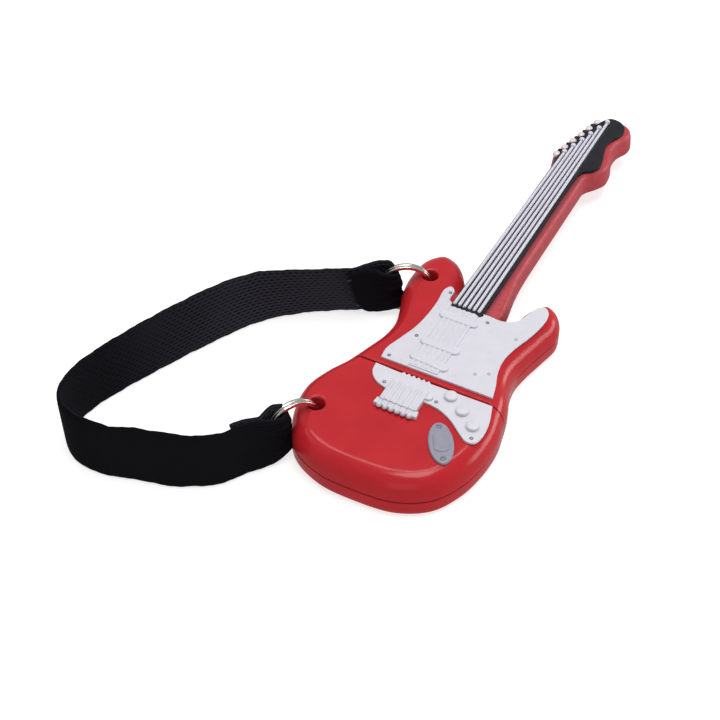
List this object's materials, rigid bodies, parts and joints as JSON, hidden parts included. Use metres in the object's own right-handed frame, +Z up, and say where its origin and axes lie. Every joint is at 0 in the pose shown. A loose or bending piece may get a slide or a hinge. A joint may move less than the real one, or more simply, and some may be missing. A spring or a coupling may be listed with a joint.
{
  "type": "guitar-shaped usb stick",
  "caption": "Guitar-shaped plastic USB flash drive that pulls apart at its waist to bare the plug, with split rings and a webbing hand strap.",
  "frame": {"origin": "middle of the flat back of the lower body, on the surface that the guitar rests on", "axes": "+Y from the lower body to the headstock, +Z up out of the face with the strings, +X to the side of the lower horn"},
  "size_m": [0.0842, 0.1531, 0.0151],
  "materials": {
    "gloss_red": "high-gloss lacquered red plastic with a soft moulded edge",
    "white_trim": "semi-gloss white plastic, slightly cool",
    "silver_white_trim": "semi-gloss pale silver-white plastic",
    "black_face": "semi-gloss black plastic",
    "grey_plate": "semi-gloss mid-grey plastic",
    "nickel": "bright nickel-plated spring steel",
    "plug_steel": "bright nickel-plated stamped steel",
    "gold_contact": "gold-plated contact strip",
    "black_webbing": "matt black ribbed polyester webbing with sewn ends",
    "board_green": "green solder mask over glass epoxy",
    "chip_black": "matt black moulded chip package",
    "crystal_steel": "stamped metal can",
    "ceramic_tan": "tan ceramic with tinned ends",
    "black_insulator": "black moulded plastic"
  },
  "bodies": {
    "body": {"body_front_shell": "gloss_red", "body_back_shell": "gloss_red", "body_pickguard": "white_trim", "bridge": "white_trim", "knob_volume": "white_trim", "knob_tone_1": "white_trim", "knob_tone_2": "white_trim", "jack_plate": "grey_plate", "circuit_carrier": "black_insulator", "circuit_board": "board_green", "memory_chip": "chip_black", "controller_chip": "chip_black", "crystal": "crystal_steel", "usb_plug_shell": "plug_steel", "usb_tongue": "black_insulator", "strap": "black_webbing", "usb_contact_1": "gold_contact", "usb_contact_2": "gold_contact", "usb_contact_3": "gold_contact", "usb_contact_4": "gold_contact", "capacitor_1": "ceramic_tan", "capacitor_2": "ceramic_tan", "capacitor_3": "ceramic_tan"},
    "cap": {"cap_front_shell": "gloss_red", "cap_back_shell": "gloss_red", "cap_liner": "black_insulator", "cap_pickguard": "white_trim", "pickup_neck": "white_trim", "pickup_middle": "white_trim", "pickup_bridge": "white_trim", "fretboard": "black_face", "string_1": "silver_white_trim", "string_2": "silver_white_trim", "string_3": "silver_white_trim", "string_4": "silver_white_trim", "string_5": "silver_white_trim", "string_6": "silver_white_trim", "tuner_1": "silver_white_trim", "tuner_2": "silver_white_trim", "tuner_3": "silver_white_trim", "tuner_4": "silver_white_trim", "tuner_5": "silver_white_trim", "tuner_6": "silver_white_trim"},
    "upper_ring": {"upper_ring": "nickel"},
    "lower_ring": {"lower_ring": "nickel"}
  },
  "joints": [
    {"name": "cap_slide", "type": "slide", "parent": "body", "child": "cap", "axis": [0, 1, 0], "range_m": [0, 0.02]},
    {"name": "upper_ring_spin", "type": "hinge", "parent": "cap", "child": "upper_ring", "pos_m": [-0.0168, 0.03917, 0.0068], "axis": [0.5299, -0.848, 0], "continuous": true},
    {"name": "lower_ring_spin", "type": "hinge", "parent": "body", "child": "lower_ring", "pos_m": [-0.01815, -0.00951, 0.0068], "axis": [0.866, -0.5, 0], "continuous": true}
  ]
}
